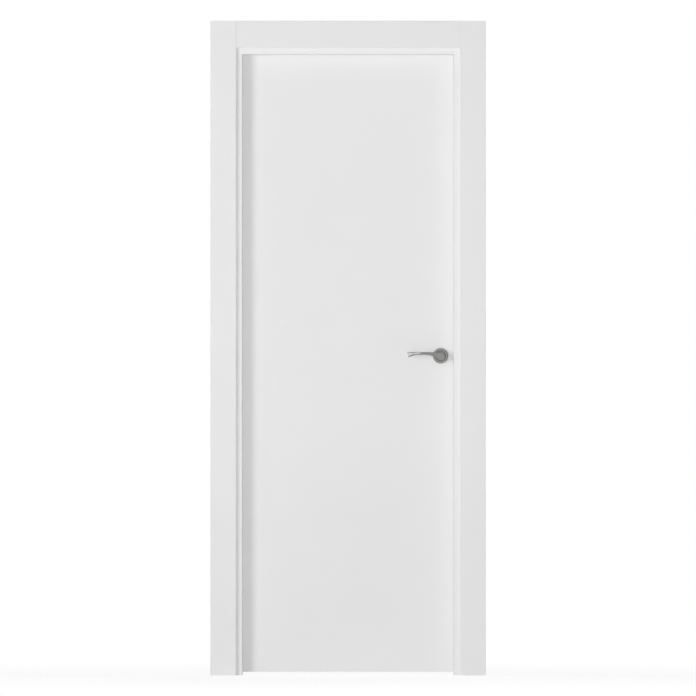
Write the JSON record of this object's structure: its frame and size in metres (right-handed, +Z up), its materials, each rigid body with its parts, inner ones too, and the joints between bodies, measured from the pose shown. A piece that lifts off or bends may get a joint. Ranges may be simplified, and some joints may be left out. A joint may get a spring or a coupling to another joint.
{
  "type": "interior door",
  "caption": "White flush interior door in its lining with flat casings, butt hinges, latch and a satin lever handle on a round rose on each side; the leaf swings and the lever turns",
  "frame": {"origin": "on the lining's outer face at the hinge side, which is fastened to the wall, at floor level and in the middle of the wall's depth", "axes": "+X from the hinge side to the latch side, +Y through the wall to the side that the leaf opens to, +Z up"},
  "size_m": [0.9, 0.1567, 2.14],
  "materials": {
    "white_lacquer": "satin white lacquer",
    "satin_metal": "satin",
    "zinc_steel": "matte",
    "seal_white": "matte",
    "raw_wood": "matte"
  },
  "bodies": {
    "frame": {"jamb_hinge_side": "white_lacquer", "jamb_latch_side": "white_lacquer", "jamb_head": "white_lacquer", "seal_hinge_side": "seal_white", "seal_latch_side": "seal_white", "seal_head": "seal_white", "strike_plate": "satin_metal", "casing_front_hinge_side": "white_lacquer", "casing_front_latch_side": "white_lacquer", "casing_front_head": "white_lacquer", "casing_back_hinge_side": "white_lacquer", "casing_back_latch_side": "white_lacquer", "casing_back_head": "white_lacquer", "hinge_top_frame_plate": "satin_metal", "hinge_top_pin": "satin_metal", "hinge_middle_frame_plate": "satin_metal", "hinge_middle_pin": "satin_metal", "hinge_bottom_frame_plate": "satin_metal", "hinge_bottom_pin": "satin_metal"},
    "leaf": {"leaf_face_front": "white_lacquer", "leaf_face_back": "white_lacquer", "leaf_stile_hinge_side": "white_lacquer", "leaf_stile_latch_side": "white_lacquer", "leaf_rail_top": "white_lacquer", "leaf_rail_bottom": "white_lacquer", "leaf_core": "raw_wood", "leaf_lock_block": "raw_wood", "latch_case": "zinc_steel", "latch_forend": "satin_metal", "latch_bolt": "satin_metal", "rosette_front": "satin_metal", "rosette_back": "satin_metal", "hinge_top_leaf_plate": "satin_metal", "hinge_middle_leaf_plate": "satin_metal", "hinge_bottom_leaf_plate": "satin_metal"},
    "handle": {"lever_front": "satin_metal", "lever_back": "satin_metal", "spindle": "zinc_steel", "latch_follower": "zinc_steel"}
  },
  "joints": [
    {"name": "door_swing", "type": "hinge", "parent": "frame", "child": "leaf", "pos_m": [0.0185, 0.051, 1.025], "axis": [0, 0, 1], "range_deg": [0, 120]},
    {"name": "lever_turn", "type": "hinge", "parent": "leaf", "child": "handle", "pos_m": [0.679, 0.0275, 1.045], "axis": [0, -1, 0], "range_deg": [0, 45], "stiffness_Nm_per_rad": 0.6, "springref_deg": -45.84}
  ]
}
